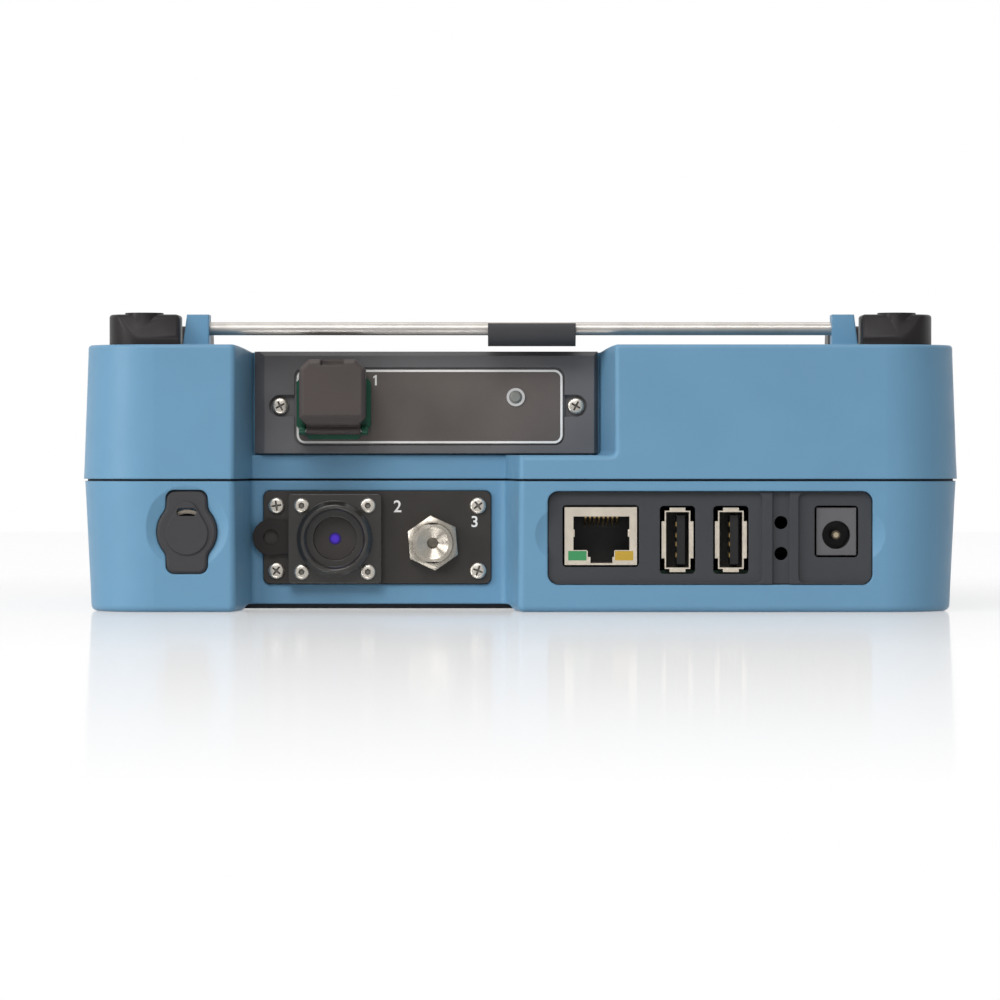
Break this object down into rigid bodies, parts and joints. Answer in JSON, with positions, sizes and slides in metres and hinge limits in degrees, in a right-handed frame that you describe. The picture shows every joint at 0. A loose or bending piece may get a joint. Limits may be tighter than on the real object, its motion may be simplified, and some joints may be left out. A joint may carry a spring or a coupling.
{
  "type": "optical time domain reflectometer",
  "caption": "Tablet-shaped fibre tester in a two-part blue case, with a capped fibre port, power meter and fault locator ports, data and power sockets, rubber feet and a folding stand.",
  "frame": {"origin": "centre of the bounding box at the display face's rim, on which the tester lies with its back up", "axes": "+X across the width, to the right as one looks at the connector end; +Y from the connector end to the far end; +Z from the display face to the back"},
  "size_m": [0.2, 0.166, 0.068],
  "materials": {
    "case_blue": "fine textured moulded plastic",
    "seal_black": "soft cord",
    "foot_rubber": "matt moulded rubber",
    "screw_steel": "plated",
    "rod_steel": "polished",
    "stand_black": "matt moulded plastic",
    "module_black": "matt black paint",
    "lamp_ring": "bright",
    "lamp_lens": "clear moulded lens",
    "adapter_green": "moulded",
    "sleeve_metal": "bead blasted",
    "ceramic_white": "polished ceramic",
    "cap_black": "matt moulded",
    "meter_black": "matt black paint",
    "detector_black": "black anodised",
    "detector_metal": "black",
    "window_violet": "coated window",
    "tab_rubber": "matt moulded rubber",
    "fault_steel": "turned nickel plate",
    "laser_metal": "machined",
    "port_grey": "fine textured moulded plastic",
    "socket_metal": "tin plated sheet",
    "socket_black": "moulded",
    "contact_gold": "gold plated",
    "lamp_green": "clear moulded lens",
    "lamp_yellow": "clear moulded lens",
    "pin_metal": "bright",
    "board_green": "printed board",
    "plug_rubber": "matt moulded rubber",
    "bezel_grey": "fine textured moulded plastic",
    "screen_glass": "flat touch glass",
    "display_dark": "display off",
    "key_rubber": "matt moulded rubber",
    "status_lens": "clear moulded lens",
    "battery_black": "moulded shell",
    "housing_metal": "folded sheet",
    "fibre_yellow": "coated fibre"
  },
  "bodies": {
    "case": {"front_case": "case_blue", "rear_case": "case_blue", "battery_door": "case_blue", "case_gasket": "seal_black", "corner_feet": "foot_rubber", "case_screws": "screw_steel", "module_screws": "screw_steel", "meter_screws": "screw_steel", "flange_screws": "screw_steel", "door_screws": "screw_steel", "board_screws": "screw_steel", "stand_rod": "rod_steel", "cap_hinge_pin": "rod_steel", "module_panel": "module_black", "lamp_ring": "lamp_ring", "lamp_lens": "lamp_lens", "adapter_base": "adapter_green", "adapter_sleeve": "sleeve_metal", "adapter_ferrule": "ceramic_white", "meter_panel": "meter_black", "detector_flange": "detector_black", "detector_can": "detector_metal", "detector_window": "window_violet", "tether_tab": "tab_rubber", "fault_barrel": "fault_steel", "fault_nut": "fault_steel", "fault_laser": "laser_metal", "laser_block": "laser_metal", "port_panel": "port_grey", "lan_shell": "socket_metal", "usb_shells": "socket_metal", "probe_socket": "socket_metal", "lan_insert": "socket_black", "usb_tongues": "socket_black", "power_inlet": "socket_black", "lan_contacts": "contact_gold", "usb_contacts": "contact_gold", "link_lamp_left": "lamp_green", "link_lamp_right": "lamp_yellow", "inlet_pin": "pin_metal", "io_board": "board_green", "main_board": "board_green", "key_board": "board_green", "optics_board": "board_green", "bezel_frame": "bezel_grey", "touch_glass": "screen_glass", "display_panel": "display_dark", "status_light": "status_lens", "battery_pack": "battery_black", "module_housing": "housing_metal", "fibre_coil": "fibre_yellow"},
    "stand": {"stand_leg": "stand_black", "leg_tip": "foot_rubber"},
    "cap": {"dust_cap": "cap_black"},
    "plug": {"probe_plug": "plug_rubber"},
    "power_key": {"power_key": "key_rubber"},
    "home_key": {"home_key": "key_rubber"}
  },
  "joints": [
    {"name": "stand_hinge", "type": "hinge", "parent": "case", "child": "stand", "pos_m": [0.0026, -0.0705, 0.06445], "axis": [1, 0, 0], "range_deg": [0, 55]},
    {"name": "cap_hinge", "type": "hinge", "parent": "case", "child": "cap", "pos_m": [-0.0428, -0.0672, 0.0413], "axis": [1, 0, 0], "range_deg": [0, 100]},
    {"name": "plug_pull", "type": "slide", "parent": "case", "child": "plug", "axis": [0, -1, 0], "range_m": [0, 0.03]},
    {"name": "power_key_press", "type": "slide", "parent": "case", "child": "power_key", "axis": [0, 0, 1], "range_m": [0, 0.0006], "stiffness_N_per_m": 1500},
    {"name": "home_key_press", "type": "slide", "parent": "case", "child": "home_key", "axis": [0, 0, 1], "range_m": [0, 0.0006], "stiffness_N_per_m": 1500}
  ]
}
